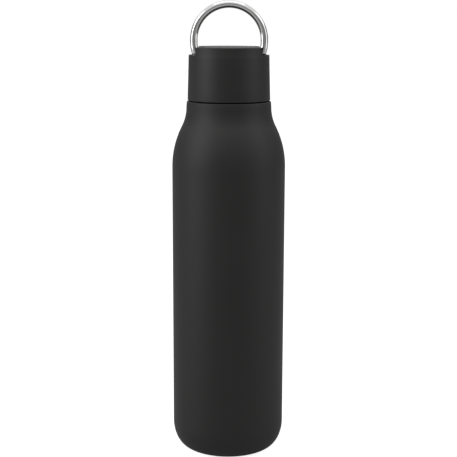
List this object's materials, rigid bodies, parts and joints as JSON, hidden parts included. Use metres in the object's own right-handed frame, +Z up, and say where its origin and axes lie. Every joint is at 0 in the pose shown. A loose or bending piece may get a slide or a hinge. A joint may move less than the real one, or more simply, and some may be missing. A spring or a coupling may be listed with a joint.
{
  "type": "insulated water bottle",
  "caption": "Slim double-walled vacuum bottle with a rounded shoulder, a matt screw cap and a round-bar carrying loop that swings on pins in the cap.",
  "frame": {"origin": "centre of the base, on the surface that the bottle stands on", "axes": "+Z up along the bottle's axis, X along the loop's pivot pins, the loop in the XZ plane at rest"},
  "size_m": [0.0716, 0.0716, 0.2879],
  "materials": {
    "body_paint": "matt powder coat",
    "cap_plastic": "matt soft touch",
    "core_plastic": "satin moulded",
    "polished_steel": "mirror polished stainless steel",
    "bare_steel": "turned and electropolished",
    "spring_steel": "plain",
    "copper_foil": "bright copper foil",
    "getter": "sintered",
    "seal_glass": "fused bead",
    "adhesive": "cured",
    "silicone": "translucent silicone",
    "foam": "cellular foam",
    "washer_nylon": "nylon"
  },
  "bodies": {
    "bottle": {"outer_shell": "body_paint", "outer_base": "body_paint", "base_disc": "bare_steel", "disc_adhesive": "adhesive", "vacuum_seal": "seal_glass", "inner_liner": "bare_steel", "radiation_foil": "copper_foil", "getter_pill": "getter", "getter_clip": "spring_steel"},
    "seal_ring": {"mouth_gasket": "silicone"},
    "cap": {"cap_shell": "cap_plastic", "cap_core": "core_plastic", "cap_foam": "foam", "pivot_pin_left": "spring_steel", "pivot_pin_right": "spring_steel", "friction_washer_left": "washer_nylon", "friction_washer_right": "washer_nylon", "pin_retainer": "core_plastic", "retainer_screws": "spring_steel"},
    "loop": {"loop": "polished_steel"}
  },
  "joints": [
    {"name": "cap_rise", "type": "slide", "parent": "bottle", "child": "seal_ring", "axis": [0, 0, 1], "range_m": [0, 0.0301]},
    {"name": "cap_turn", "type": "hinge", "parent": "seal_ring", "child": "cap", "pos_m": [0, 0, 0.24], "axis": [0, 0, 1], "range_deg": [0, 2160]},
    {"name": "loop_swing", "type": "hinge", "parent": "cap", "child": "loop", "pos_m": [0, 0, 0.25036], "axis": [1, 0, 0], "range_deg": [-40, 40]}
  ],
  "couplings": [
    {"joint": "cap_rise", "follows": "cap_turn", "m_per_rad": 0.00079577}
  ]
}
